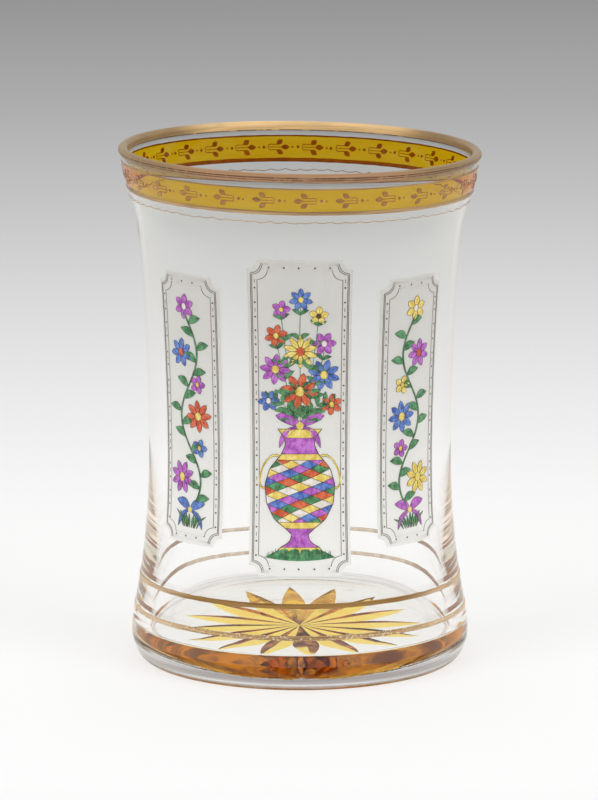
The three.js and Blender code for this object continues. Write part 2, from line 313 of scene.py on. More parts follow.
class Finish:
    """A material or world being wired, whose node method adds every node."""

    def __init__(self, owner):
        self.owner = owner
        owner.use_nodes = True
        self.tree = owner.node_tree
        self.tree.nodes.clear()

    def node(self, kind, settings=None, inputs=None, output=0):
        """Adds a node: its settings first, or a ramp's grey stops, then its sockets' values and links."""
        made = self.tree.nodes.new(kind)
        for key, value in (settings or {}).items():
            if key == "stops":
                elements = made.color_ramp.elements
                while len(elements) < len(value):
                    elements.new(0.5)
                for element, (position, grey) in zip(elements, value):
                    element.position, element.color = position, (grey, grey, grey, 1)
            else:
                setattr(made, key, value)
        for key, value in (inputs or {}).items():
            socket = made.inputs[key]
            if isinstance(value, Wire):
                self.tree.links.new(value.socket, socket)
            else:
                socket.default_value = (*value, 1) if socket.type == "RGBA" else value
        return Wire(self, made.outputs[output]) if made.outputs else None

    def place(self):
        return self.node("ShaderNodeTexCoord", output="Object")

    def axes(self, at=None):
        """The three coordinates of a place, which is the piece's own unless another is given."""
        at = at or self.place()
        return [self.node("ShaderNodeSeparateXYZ", inputs={0: at}, output=k) for k in range(3)]

    def vector(self, x, y, z):
        return self.node("ShaderNodeCombineXYZ", inputs={0: x, 1: y, 2: z})

    def noise(self, scale, detail=3.0, roughness=0.5, at=None, distortion=0.0):
        """Noise whose features are a scale-th of a metre wide."""
        return self.node("ShaderNodeTexNoise", inputs={
            "Vector": at or self.place(), "Scale": scale, "Detail": detail,
            "Roughness": roughness, "Distortion": distortion})

    def blend(self, factor, low, high):
        """A colour between two, by a factor."""
        return self.node("ShaderNodeMix", {"data_type": "RGBA"}, {0: factor, 6: low, 7: high}, output=2)

    def bump(self, height, distance, strength=1.0):
        return self.node("ShaderNodeBump", inputs={
            "Height": height, "Distance": distance, "Strength": strength})

    def principled(self, **inputs):
        return self.node("ShaderNodeBsdfPrincipled", inputs={
            key.replace("_", " "): value for key, value in inputs.items()})

    def mix(self, factor, first, second):
        return self.node("ShaderNodeMixShader", inputs={0: factor, 1: first, 2: second})

    def clear(self, colour):
        return self.node("ShaderNodeBsdfTransparent", inputs={"Color": colour})

    def done(self, surface):
        self.node("ShaderNodeOutputMaterial", inputs={"Surface": surface})
        return self.owner

    def done_glass(self, surface, tint):
        """Glass that lamps and the light off other things pass straight, with a tint at each face."""
        straight = self.clear(tint)
        for ray in ("Is Diffuse Ray", "Is Shadow Ray"):
            surface = self.mix(self.node("ShaderNodeLightPath", output=ray), surface, straight)
        return self.done(surface)


def material(name, colour):
    """A new material, whose viewport colour is its main one."""
    made = bpy.data.materials.new(name)
    made.diffuse_color = (*colour, 1)
    return Finish(made)


def rgb(red, green, blue):
    """A colour given in the 0 to 255 of a screen, as the linear values that a shader takes."""
    c = np.array([red, green, blue]) / 255
    linear = np.where(c <= 0.04045, c / 12.92, ((c + 0.055) / 1.055) ** 2.4)
    return tuple(linear.tolist())


def sideways(x, y):
    """How far a place lies to a side: 0 at the front and the back, and 1 at both sides."""
    return x * x / (x * x + y * y)


def two_ways(f, passed, mirrored, roughness, normal, dulled):
    """Glass wired as its two ways: light that passes and light that it mirrors. The mirrored share is
    dulled by a power, as by a polariser, which leaves full mirroring inside the glass as it is."""
    face = {"Roughness": roughness, "Normal": normal}
    through = f.node("ShaderNodeBsdfRefraction", inputs={"Color": passed, "IOR": GLASS_IOR, **face})
    mirror = f.node("ShaderNodeBsdfAnisotropic", inputs={"Color": mirrored, **face})
    share = f.node("ShaderNodeFresnel", inputs={"IOR": GLASS_IOR, "Normal": normal})
    return f.mix(share ** dulled, through, mirror)


def clear_glass():
    """Blown glass: a faint grey-green cast that grows upwards, slow waves from the blowing, and wipe
    marks in the polish."""
    f = material("clear_glass", (0.9, 0.93, 0.91))
    x, y, z = f.axes()
    wipes = f.noise(900, 4, 0.6, f.vector(x, y, z * 0.15)).ramp(0.62, 0.8)
    waves = f.bump(f.noise(55, 1, 0.4, f.vector(x, y, z * 0.35)), 0.00012, 0.18)
    dulled = y.ramp(-0.02, 0.015) * 0.45 + 1.0
    low, high = [two_ways(f, passed, (1.0, 0.987, 0.973), wipes * 0.05, waves, dulled)
                 for passed in ((0.998, 0.998, 0.996), (0.987, 0.989, 0.98))]
    return f.done_glass(f.mix(z.ramp(0.06, 0.092), low, high), (0.995, 0.995, 0.992))


def base_glass(name, colour, passed, mirrored, lamps, far=None):
    """Glass of the base, whose tints drift into each other in winding patches, roughened by fine marks of
    the wheel. Where far is given, its two tints are those it mirrors in near the middle of the back, lighter
    ones that are a painted reflection."""
    f = material(name, colour)
    x, y, z = f.axes()
    drifts = f.noise(190, 5, 0.68, f.vector(x * 0.65, y * 1.8, z * 0.2), 0.9).ramp(0.37, 0.6)
    marks = f.bump(f.noise(2600, 2, 0.5), 0.00001, 0.4)

    def patched(tints):
        return f.mix(drifts, *[two_ways(f, way, tint, 0.02, marks, 2.1) for way, tint in zip(passed, tints)])

    glass = patched(mirrored)
    if far:
        # Painted reflection: lighter mirrored tints near the middle of the back.
        glass = f.mix(y.ramp(0.001, 0.008) * (x * x).ramp(0.0003, 0.0001), glass, patched(far))
    return f.done_glass(glass, lamps)


def foot_glass():
    """Glass of the foot's rounded outside, with faint level streaks all round. Its front has painted shade
    in its colour: darkest midway up and greyer towards the sides, and a brownish painted contact shadow at
    the edge it rests on."""
    f = material("foot_glass", rgb(226, 226, 222))
    x, y, z = f.axes()
    streaks = f.noise(300, 3, 0.6, f.vector(x * 0.15, y * 0.15, z * 8)).ramp(0.4, 0.6)
    front = y.ramp(0.016, 0.0)
    # Painted shade on the front: a dark band midway up and grey towards the sides.
    painted_dark_band = z.ramp(0.0012, 0.0021) * z.ramp(0.0042, 0.0026) * front
    painted_side_shade = sideways(x, y).ramp(0.2, 0.9) * z.ramp(0.0062, 0.0045) * front
    marks = f.bump(f.noise(2600, 2, 0.5), 0.00001, 0.4)

    def tinted(tone):
        return two_ways(f, tone, (0.95, 0.95, 0.94), 0.02, marks, 1.8)

    glass = tinted((1, 1, 1))
    for share, tone in ((streaks * z.ramp(0.0045, 0.003), (0.8, 0.8, 0.8)),
                        (painted_dark_band * 0.8, (0.42, 0.37, 0.35)),
                        (painted_side_shade * 0.55, (0.6, 0.56, 0.52)),
                        # Painted contact shadow: brownish at the front where the foot rests.
                        (z.ramp(0.0015, 0.001) * front, (0.66, 0.53, 0.46))):
        glass = f.mix(share, glass, tinted(tone))
    return f.done_glass(glass, (0.92, 0.88, 0.85))


def star_film():
    """The stain's own film in the cuts: a thin warm layer, uneven as it was brushed."""
    f = material("star_stain", rgb(236, 190, 100))
    brushed = f.noise(420, 4, 0.6).ramp(0.3, 0.75)
    return f.done(f.mix(brushed, f.clear((1.0, 0.99, 0.91)), f.clear((1.0, 0.975, 0.84))))


def yellow_film():
    """Silver stain: a clear yellow film, brushed on in long level strokes that overlap."""
    f = material("yellow_stain", rgb(214, 165, 20))
    x, y, z = f.axes()
    strokes = f.noise(70, 4, 0.55, f.vector(x, y, z * 9)).ramp(0.3, 0.72)
    return f.done(f.mix(strokes, f.clear((0.995, 0.8, 0.12)), f.clear((0.98, 0.75, 0.07))))


def gilt(name, front, back, side, wear, back_wear=0.0, streak=2200, depth=0.5, metal_share=0.85,
         turn=(0.35, 0.75), seams=(), ground=None, patchy=0.4):
    """Burnished brown gold with level brush marks, darker where it is thin. Its tones are painted light and
    shade, lit and shaded copies of the same gold: one at the front, one at the back and one at the sides,
    and turn says between which shares of the way round it goes over into the side one. wear is the share of
    noise that goes bare, back_wear adds to it towards the back, and patchy gathers it in patches: the glass
    shows there, or the pale ground under the gold where one is given. Each line given for the rim is a
    broken brown line that follows the leaning rim at a height, on the front (-1) or the back (1) only."""
    f = material(name, front)
    x, y, z = f.axes()
    radius = (x * x + y * y) ** 0.5
    marks = f.noise(1, 3, 0.6, f.vector(x * 60, y * 60, (z - radius) * streak))
    specks, patches = f.noise(2400, 3, 0.65), f.noise(140, 3, 0.6)
    worn = specks * (1 - patchy) + patches * patchy + y.ramp(0.0, 0.03) * back_wear
    bare = worn.ramp(1 - wear, 1.06 - wear)
    # Painted light and shade: the front, back and side tones are lit and shaded copies of the same gold.
    face = f.blend(y.ramp(-0.008, 0.012), front, back)
    tone = f.blend((x * x / (radius * radius)).ramp(*turn), face, side)
    streaked = f.blend(marks.ramp(0.3, 0.7) * depth + (1 - depth), (0, 0, 0), tone)
    # Broken brown lines on the front or the back half only, along the leaning rim at the heights given.
    for height, half in seams:
        level = z - x * RIM_LEAN_X - y * RIM_LEAN_Y + (RIM_DROP - height) * MM
        broken = f.noise(420, 3, 0.6).ramp(0.32, 0.5) * (y * half).ramp(0.0, 0.02)
        line = (level * level).ramp(3.6e-8, 0.2e-8) * broken
        streaked = f.blend(line * 0.8, streaked, rgb(84, 46, 26))
    metal = f.principled(Base_Color=streaked, Metallic=metal_share, Roughness=0.3 + marks * 0.2,
                         Normal=f.bump(marks, 0.00003, 0.5))
    if ground:
        shown = f.principled(Base_Color=ground, Roughness=0.45 + specks * 0.2)
    else:
        shown = f.clear((1, 1, 1))
    return f.done(f.mix(bare, metal, shown))


def ground_enamel():
    """White enamel ground: fired thin enough that light comes through, greyer towards the top by painted
    shade, with a fine pebbled gloss and a few dull specks."""
    f = material("white_enamel_ground", rgb(222, 219, 211))
    _, _, z = f.axes()
    # Painted shade: the ground is greyer towards the top and lighter low down.
    height = z.ramp(0.095, 0.025)
    clouds = f.noise(160, 4, 0.55)
    colour = f.blend(height * 0.8 + clouds * 0.2, rgb(210, 208, 203), rgb(255, 255, 253))
    specks = f.noise(3000, 1, 0.5).ramp(0.74, 0.8)
    toned = f.blend(specks, colour, rgb(186, 178, 166))
    enamel = f.principled(
        Base_Color=toned, Roughness=0.32 + clouds * 0.2, Normal=f.bump(f.noise(1500, 2), 0.00002, 0.5))
    through = f.node("ShaderNodeBsdfTranslucent", inputs={"Color": rgb(245, 245, 242)})
    return f.done(f.mix(0.2, f.mix(0.3, enamel, through), f.clear((0.99, 0.99, 0.985))))


def paint(name, thick, thin, painted_side_shade=None):
    """Enamel colour laid on with a brush: thin and thick in washes, with fine strokes across them. Where a
    colour for the sides is given, it goes over into that colour towards the sides of the glass: painted
    shade. The colours are those of a screen."""
    thick, thin = rgb(*thick), rgb(*thin)
    f = material(name, thick)
    x, y, z = f.axes()
    washes = f.noise(750, 3, 0.6)
    strokes = f.noise(2600, 2, 0.5, f.vector(x, y, z * 0.3))
    tone = (washes * 0.7 + strokes * 0.3).ramp(0.36, 0.64)
    colour = f.blend(tone, thick, thin)
    if painted_side_shade:
        # Painted shade: a darker colour towards the sides of the glass.
        colour = f.blend(sideways(x, y).ramp(0.45, 0.85), colour, rgb(*painted_side_shade))
    return f.done(f.principled(
        Base_Color=colour, Roughness=0.34 + washes * 0.16, Normal=f.bump(strokes, 0.00003, 0.5)))


FINISHES = {
    "glass": clear_glass(),
    "base": base_glass("base_glass", rgb(240, 242, 238), ((0.998, 0.998, 0.994), (0.99, 0.993, 0.987)),
                       ((0.97, 0.98, 0.96), (0.95, 0.96, 0.94)), (0.99, 0.99, 0.985)),
    # The amber glass's last two tints are a painted reflection, lighter near the middle of the back.
    "amber": base_glass("amber_cut_glass", rgb(232, 178, 80), ((1.0, 0.86, 0.37), (1.0, 0.78, 0.27)),
                        ((0.67, 0.24, 0.025), (0.2, 0.075, 0.04)), (1.0, 0.98, 0.84),
                        ((1.0, 0.62, 0.1), (0.62, 0.3, 0.07))),
    "foot": foot_glass(),
    "stain": yellow_film(),
    # The gilt finishes' front, back and side tones are painted light and shade; the lip's bright back is a
    # painted reflection.
    "lip": gilt("lip_gilding", (0.5, 0.285, 0.15), (0.93, 0.62, 0.29), (0.36, 0.23, 0.1), 0.2, depth=0.3,
                metal_share=0.45, turn=(0.2, 0.6), seams=((113.75, -1), (113.3, -1), (112.75, 1))),
    "hoop": gilt("hoop_gilding", (0.5, 0.283, 0.093), (0.6, 0.42, 0.26), (0.8, 0.57, 0.35), 0.36, 0.12),
    "worn": gilt("worn_hoop_gilding", (0.66, 0.41, 0.18), (0.62, 0.43, 0.26), (0.86, 0.6, 0.36), 0.455,
                 0.1, ground=rgb(236, 222, 200), patchy=0.12),
    "line": gilt("line_gilding", (0.62, 0.4, 0.2), (0.5, 0.3, 0.13), (0.6, 0.38, 0.18), 0.26),
    "bud": gilt("bud_gilding", (0.56, 0.28, 0.1), (0.5, 0.3, 0.13), (0.6, 0.38, 0.2), 0.2, streak=5000),
    "stem": paint("stem_brown", (132, 84, 52), (162, 110, 72)),
    "under": paint("gilding_back", (112, 84, 40), (138, 104, 60)),
    # The hoop's back goes over into a darker brown towards the sides: painted shade.
    "pale": paint("hoop_back", (206, 184, 164), (232, 218, 204), (156, 112, 82)),
    "ground": ground_enamel(),
    "brown": paint("outline_brown", (66, 46, 36), (98, 74, 60)),
    "purple": paint("purple_enamel", (150, 62, 160), (200, 120, 208)),
    "blue": paint("blue_enamel", (56, 84, 160), (110, 146, 214)),
    "green": paint("green_enamel", (42, 100, 60), (98, 164, 110)),
    "yellow": paint("yellow_enamel", (216, 184, 70), (240, 222, 132)),
    "red": paint("brick_red_enamel", (186, 66, 34), (224, 116, 76)),
    "white": paint("white_enamel", (214, 206, 196), (238, 232, 224)),
}


# Glass body


def ray_depth(reach):
    """Depth of a cut at a distance along it: full out to its shoulder, then less by the square of
    the way from there to its tip."""
    past = np.clip((reach - RAY_SHOULDER) / (RAY_LENGTH - RAY_SHOULDER), 0, None)
    return RAY_DEPTH * (1 - past**2)


def cut_height(radius, turn):
    """Height of the underside at a turn from the nearest ray: the cut's depth at the distance along
    it, less the distance across it times the slope of its side, and never under the resting face."""
    return np.maximum(0, ray_depth(radius * np.cos(turn)) - radius * np.abs(np.sin(turn)) * RAY_SLOPE)


def cut_edge(radius, half_sector):
    """Turn from the ray's middle at which its cut meets the resting face, found by halving."""
    low, high = np.zeros_like(radius), np.full_like(radius, half_sector)
    for _ in range(40):
        middle = (low + high) / 2
        inside_cut = ray_depth(radius * np.cos(middle)) > radius * np.sin(middle) * RAY_SLOPE
        low, high = np.where(inside_cut, middle, low), np.where(inside_cut, high, middle)
    return low


def glass_body():
    """The glass as a closed grid of rings: out along the underside, up the outside, over the lip,
    down the inside and in to the middle of the floor, which is dished by the square of the radius.
    Under the base, the rings' points gather along the middle and the edges of each cut, so that its
    creases stay crisp; outside the star they even out. The two middles are single points."""
    across_cut, across_land = 4, 2
    foot_rows, corner_rows = 14, 10
    half = across_cut + across_land
    half_sector = np.pi / RAY_COUNT
    under = np.array([0.5, *np.arange(1.5, 26.6), 26.8, 27.3, 27.7, 27.95, 28.1, 29, 30, 31, 32.2, 33.3,
                      REST_RADIUS])
    floor = np.array([[r, BASE_THICKNESS + FLOOR_DISH * (r / floor_radius) ** 2]
                      for r in (29.5, 27, 24, 21, 18, 15, 12, 9, 6, 3)])
    over = np.vstack([outside[1:], lip[1:], inside[1:], floor])
    rows, low_rows, columns = len(under) + len(over), len(under), RAY_COUNT * 2 * half

    margin = np.radians(0.03)
    edge = np.clip(cut_edge(under, half_sector), margin, half_sector - margin)[:, None]
    steps = np.arange(half + 1)
    gathered = np.where(steps <= across_cut, edge * steps / across_cut,
                        edge + (half_sector - edge) * (steps - across_cut) / across_land)
    even = half_sector * steps / half
    loose = np.clip((under - RAY_LENGTH) / 3, 0, 1)[:, None]
    turn = np.vstack([gathered * (1 - loose) + even * loose, np.tile(even, (len(over), 1))])
    sector = np.hstack([-turn[:, :0:-1], turn[:, :-1]])
    rays = RAY_PHASE + np.arange(RAY_COUNT) * 2 * half_sector
    azimuth = (rays[:, None] + sector[:, None, :]).reshape(rows, columns)

    z = np.vstack([np.tile(cut_height(under[:, None], sector[:low_rows]), RAY_COUNT),
                   np.tile(over[:, 1:], columns)])
    rings = around(np.concatenate([under, over[:, 0]])[:, None], azimuth, z).reshape(-1, 3)
    points = np.vstack([rings, [[0, 0, RAY_DEPTH], [0, 0, BASE_THICKNESS]]])
    faces = [*grid_faces(rows, columns, closed_columns=True).tolist(),
             *flipped(fan(columns, 0, len(rings))).tolist(),
             *fan(columns, (rows - 1) * columns, len(rings) + 1).tolist()]

    clear, amber, base, foot = range(4)
    within = np.abs((np.arange(columns) + 0.5) % (2 * half) - half) < across_cut
    finish = np.full((rows - 1, columns), clear)
    finish[: low_rows - 1] = base
    finish[: int(np.sum(under < RAY_LENGTH))][:, within] = amber
    finish[rows - len(floor) - corner_rows:] = base
    finish[low_rows - 1: low_rows - 1 + foot_rows] = foot
    index = np.concatenate([finish.ravel(), np.full(columns, amber), np.full(columns, base)])
    finishes = [FINISHES[name] for name in ("glass", "amber", "base", "foot")]
    made = piece("glass", points, faces, finishes, index, sharp=20)
    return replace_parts(made, "glass_body")


# Layers on the wall

RING_POINTS = 480
RING_ACROSS = 5


def section(across, rise, edge=0.35):
    """Shares across a layer and its height there: a low dome that keeps a share of its height at
    both edges, then the two points of its back."""
    s = np.linspace(0, 1, across)
    dome = rise * (edge + (1 - edge) * np.sqrt(np.clip(1 - (2 * s - 1) ** 2, 0, 1)))
    return np.concatenate([s, [1, 0]]), dome


def turned(count, radius, z):
    """Points and faces of a closed grid: round the glass one way, and round a section whose radii and
    heights are given, for each azimuth or for all, the other."""
    points = around(radius, circle(count)[:, None], z)
    return points.reshape(-1, 3), flipped(grid_faces(*points.shape[:2], True, True)).tolist()


def wall_ring(bottom, top, rise=GILDING, across=RING_ACROSS):
    """A ring on the wall: its edges are heights for each azimuth, and its face is a low dome."""
    share, dome = section(across, rise)
    z = bottom[:, None] + (top - bottom)[:, None] * share
    return turned(len(bottom), wall_radius(z) + np.concatenate([dome, [ROOT, ROOT]]), z)


def wander(azimuth, size, seed):
    """A hand's wander round the glass: five sine waves of whole periods with seeded phases."""
    draw = np.random.default_rng(seed)
    waves = draw.integers(5, 60, 5)
    phase = draw.uniform(0, TAU, 5)
    return size * np.sin(azimuth[:, None] * waves + phase).sum(1) / 3


def gilt_ring(node, finish, under, seed, size=0.05):
    """A hand-drawn gilt line where a CAD node is, with its own finish for the back that shows through
    the glass."""
    azimuth = circle(RING_POINTS)
    bottom, top = [level + wander(azimuth, size, seed + k) for k, level in enumerate(heights(node))]
    points, faces = wall_ring(bottom, top)
    back = np.tile(np.arange(RING_ACROSS + 2) == RING_ACROSS, RING_POINTS)
    made = piece("gilt_" + node, points, faces, [FINISHES[finish], FINISHES[under]], back)
    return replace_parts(made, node)


def stained_band():
    """The yellow band as a film just under the glass's surface, all the way round, also under the two
    gilt lines that edge it."""
    columns, rows, overlap = 192, 9, 0.05
    bottom = heights("band_bottom_line")[0] + overlap
    top = heights("band_top_line")[1] - overlap
    up = np.linspace(0, 1, rows)
    z = bottom + (top - bottom) * np.concatenate([up, up[::-1]])
    points, faces = turned(columns, wall_radius(z) + np.repeat([-0.05, -0.09], rows), z)
    made = piece("yellow_band", points, faces, [FINISHES["stain"]])
    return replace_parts(made, "stain_band")


def lip_gilding():
    """Gilding over the lip: the outline there, from its edge outside to its edge inside, moved along
    its own normal for the face and the back. The edge outside wanders a little."""
    bottom = heights("lip_gilding")[0]
    below = np.array([[wall_radius(z), z] for z in np.linspace(bottom, LIP_HEIGHT - 0.1, 4)])
    rim = outside[outside[:, 1] > LIP_HEIGHT - 0.05]
    path = np.vstack([below, rim, lip[1:], [[LIP_RADIUS - LIP_WIDTH - 0.03, LIP_HEIGHT - 0.3],
                                           [LIP_RADIUS - LIP_WIDTH - 0.09, LIP_HEIGHT - 0.93]]])
    out = -normals(path)
    thick = np.full(len(path), GILDING - 0.01)
    thick[[0, -1]] = GILDING / 3
    loop = np.vstack([path + out * thick[:, None], (path + out * ROOT)[::-1]])
    columns = 384
    drop = np.zeros(len(loop))
    drop[[0, -1]] = 1
    z = loop[:, 1] + drop * wander(circle(columns), 0.08, 5)[:, None]
    points, faces = turned(columns, loop[:, 0], z)
    made = piece("lip_gilt", points, faces, [FINISHES["lip"]])
    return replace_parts(made, "lip_gilding")


# Brushwork: every stroke is a patch between two edges in a flat drawing, x along the wall and z up


class Brushwork:
    """Painted patches collected into one piece, wrapped round the wall about an azimuth. The girth is
    the radius at which x in the drawing turns into an angle, and base the height it is painted on.
    A patch's flat back takes the tone under, where one is given."""

    def __init__(self, azimuth, girth=WAIST_RADIUS, base=ENAMEL, under=None):
        self.azimuth, self.girth, self.base, self.under = azimuth, girth, base, under
        self.points, self.faces, self.tones, self.count = [], [], [], 0

    def patch(self, left, right, tone, rise=PAINT, across=3):
        """A patch between two edges: its face is a low dome across from edge to edge, its back is
        flat, and flat caps close its ends."""
        left, right = np.asarray(left, float), np.asarray(right, float)
        share, dome = section(across, rise, 0.5)
        flat = left[:, None, :] + (right - left)[:, None, :] * share[:, None]
        x, z = flat[..., 0], flat[..., 1]
        radius = wall_radius(z) + self.base + np.concatenate([dome, [ROOT, ROOT]])
        self.points.append(around(radius, self.azimuth + x / self.girth, z).reshape(-1, 3))
        rows, columns = z.shape
        faces = grid_faces(rows, columns, closed_columns=True)
        caps = [np.arange(columns)[::-1], np.arange(columns) + (rows - 1) * columns]
        self.faces += [(face + self.count).tolist() for face in (*faces, *caps)]
        face_tones = np.full((rows - 1, columns), tone, dtype="<U8")
        face_tones[:, across] = self.under or tone
        self.tones += [*face_tones.ravel().tolist(), tone, tone]
        self.count += rows * columns

    def stroke(self, path, width, tone, rise=PAINT, taper=0.0):
        """A line along a path: the path moved half the width to both sides along its normal. With a
        taper, the width falls towards the ends by the square root of a parabola."""
        path = np.asarray(path, float)
        t = np.linspace(-1, 1, len(path))[:, None]
        half = width / 2 * ((1 - taper) + taper * np.sqrt(np.clip(1 - t**2, 0.02, 1)))
        side = normals(path) * half
        self.patch(path + side, path - side, tone, rise)

    def ring(self, outline, width, tone="brown", rise=PAINT + 0.02):
        """A line round a closed outline, which ends where it starts."""
        self.stroke(np.vstack([outline, outline[:2]]), width, tone, rise)

    def crease(self, path, width=0.06, over=0.03, taper=0.0):
        """A fine brown line that lies a little over the paint."""
        self.stroke(path, width, "brown", PAINT + over, taper)

    def dot(self, x, z, radius, tone, rise=PAINT):
        """A round dot: two half circles as its edges."""
        t = np.linspace(0.12, np.pi - 0.12, 6)
        right, left = [np.column_stack([x + side * np.sin(t), z + radius * np.cos(t)])
                       for side in (radius, -radius)]
        self.patch(right, left, tone, rise)

    def leaf(self, root, tip, width, tone, bend=0.0, steps=9, outline=0.0, full=0.9):
        """A pointed leaf: edges on both sides of a bent middle line, half a width away at most, by a
        sine whose power sets how full it is. Returns its edges and its middle line."""
        root, tip = np.asarray(root, float), np.asarray(tip, float)
        t = np.linspace(0, 1, steps)[:, None]
        reach = tip - root
        across = np.array([-reach[1], reach[0]]) / np.linalg.norm(reach)
        middle = root + reach * t + across * bend * np.sin(np.pi * t)
        half = np.maximum(0.03, width / 2 * np.sin(np.pi * t) ** full)
        left, right = middle + across * half, middle - across * half
        self.patch(left, right, tone)
        if outline:
            self.ring(np.vstack([left, right[::-1]]), outline)
        return left, right, middle

    def made(self, name, *nodes, slot="enamel_outline"):
        """The piece, with a slot for each tone that its patches have."""
        tones = list(dict.fromkeys(self.tones))
        done = piece(name, np.vstack(self.points), self.faces, [FINISHES[tone] for tone in tones],
                     [tones.index(tone) for tone in self.tones], sharp=50)
        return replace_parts(done, *nodes) if nodes else done


def trefoils():
    """The frieze on the stained band: on each motif three buds that point left, drawn round with a
    darker line, on stems that run level to a curl; then a large dot and a small one."""
    middle = np.mean(heights("stain_band"))
    draw = np.random.default_rng(28)
    for k in range(TREFOIL_COUNT):
        even = TREFOIL_PHASE + TAU * k / TREFOIL_COUNT
        work = Brushwork(even + TREFOIL_CROWDING * np.sin(even), wall_radius(middle), 0.0, "under")
        slip = draw.normal(0, 0.07, 8)
        for root, tip in (((-0.72, 0), (-2.5, slip[0])), ((0.3, 0.68), (-0.98, 1.52 + slip[1])),
                          ((0.3, -0.68), (-0.98, -1.52 + slip[2]))):
            left, right, _ = work.leaf(np.add(root, (0, middle)), np.add(tip, (0, middle)),
                                       1.04 + slip[3] / 2, "bud", full=0.92)
            work.ring(np.vstack([left, right[::-1]]), 0.14, "stem", PAINT + 0.015)
        work.stroke([(x, middle) for x in np.linspace(-0.75, 1.95, 6)], 0.15, "stem")
        for side in (1, -1):
            turn = (1.7, middle + side * 0.66)
            stem = bezier((0.3, middle + side * 0.68), (0.5, -side * 0.12), (-0.5, -side * 0.04), turn, 7)
            curl = bezier(turn, (0.55, side * 0.06), (0.34, side * 0.12), (2.12, middle + side * 0.07), 8)
            work.stroke(joined(stem, curl), 0.17, "stem")
        work.dot(3.35 + slip[4], middle + slip[5] / 2, 0.34, "stem")
        work.dot(4.5 + slip[6], middle + slip[7] / 2, 0.22, "stem")
        work.made(f"gilt_trefoil_{k + 1}", f"trefoil_{k + 1}", slot="gilding")


def scalloped_line():
    """A hair line that hangs in shallow arcs: its height is the middle one less the size of a sine."""
    half_width, rise, count = 0.08, 0.06, 36
    azimuth = circle(864)
    arcs = 0.3 * (0.6 - np.abs(np.sin(azimuth * count)) ** 0.8) + wander(azimuth, 0.1, 9)
    middle = np.mean(heights("scalloped_line")) + arcs
    points, faces = wall_ring(middle - half_width, middle + half_width, rise, 3)
    made = piece("gilt_scalloped_line", points, faces, [FINISHES["line"]])
    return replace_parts(made, "scalloped_line")


# Enamelled panels


def panel_rows(width, bottom, top, inset):
    """Heights and half widths up a panel whose corners are hollow arcs: at an arc, the height goes by
    the cosine and the half width by the sine of the same angle."""
    half, low, high = width / 2 - inset, bottom + inset, top - inset
    a = np.linspace(np.pi / 2, 0.0, 9)
    foot_z, foot_half = low + PANEL_CORNER * np.cos(a), half - PANEL_CORNER * np.sin(a)
    between = np.linspace(low + PANEL_CORNER, high - PANEL_CORNER, 40)[1:-1]
    z = np.concatenate([foot_z, between, (low + high) - foot_z[::-1]])
    return z, np.concatenate([foot_half, np.full(len(between), half), foot_half[::-1]])


def panel_ground(name, azimuth, width):
    """A panel's ground: rows from edge to edge, each with the same share of its width between points,
    as a closed layer on the wall whose face falls away at its edges."""
    z, reach = panel_rows(width, *heights(name), 0)
    share = np.concatenate([[-1, -0.985], np.linspace(-0.95, 0.95, 23), [0.985, 1]])
    thin = np.concatenate([[0.35, 0.85], np.ones(23), [0.85, 0.35]])
    down = np.concatenate([[0.4, 0.85], np.ones(len(z) - 4), [0.85, 0.4]])
    x = reach[:, None] * np.concatenate([share, share[::-1]])
    face = ENAMEL * thin * down[:, None]
    height = np.hstack([face, np.full_like(face, ROOT)])
    points = around(wall_radius(z)[:, None] + height, azimuth + x / WAIST_RADIUS, z[:, None])
    rows, columns = x.shape
    at = np.arange(columns // 2 - 1)
    end = np.column_stack([at, at + 1, columns - 2 - at, columns - 1 - at])
    faces = np.vstack([grid_faces(rows, columns, closed_columns=True), flipped(end),
                       end + (rows - 1) * columns])
    made = piece(name + "_ground", points.reshape(-1, 3), faces.tolist(),
                 [FINISHES["ground"]], sharp=60)
    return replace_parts(made, name)


def panel_border(name, azimuth, width):
    """Two hair lines, then a row of dots and dashes, then one more line inside them."""
    line, dot, row, pace, first, last = 0.06, 0.2, 1.6, 3.1, 4.6, 4.4
    bottom, top = heights(name)
    work = Brushwork(azimuth)
    for inset, thick in ((0.76, 0.13), (1.04, 0.13), (2.15, 0.12)):
        z, reach = panel_rows(width, bottom, top, inset)
        outline = np.vstack([np.column_stack([reach, z]), np.column_stack([-reach, z])[::-1]])
        work.ring(outline, thick, rise=line)
    draw = np.random.default_rng(int(width))
    z = np.arange(bottom + first, top - last, pace)
    for x in (row - width / 2, width / 2 - row):
        for k, at in enumerate(z + draw.normal(0, 0.12, len(z))):
            work.dot(x, at, dot, "brown", line)
            if k % 2:
                work.stroke([(x, at + up) for up in (1.1, 1.5, 1.9)], 0.1, "brown", line - 0.01)
    across = np.arange(first - width / 2, width / 2 - last, pace)
    for at in across + draw.normal(0, 0.1, len(across)):
        for edge in (bottom + row, top - row):
            work.dot(at, edge, dot, "brown", line)
    work.made(name + "_lines", name + "_border")


def flower(work, place, radius, petals, tone, heart, turn=0.0):
    """A round flower: pointed petals about a heart, each drawn round with a thin line and creased."""
    for a in turn + circle(petals):
        out = np.array([np.sin(a), np.cos(a)]) * radius
        root, tip = place + out * 0.15, place + out
        work.leaf(root, tip, radius * 3.3 / petals, tone, outline=0.07, steps=7, full=0.6)
        work.crease([root + (tip - root) * s for s in (0.3, 0.5, 0.72)])
    core, a = radius * 0.27, circle(10)
    work.dot(*place, core, heart, PAINT + 0.05)
    work.ring(place + core * np.column_stack([np.sin(a), np.cos(a)]), 0.07, rise=PAINT + 0.06)


def along(path, share):
    """The values of a path at a share of the way along its list of points."""
    t = np.linspace(0, 1, len(path))
    return np.array([np.interp(share, t, column) for column in path.T])


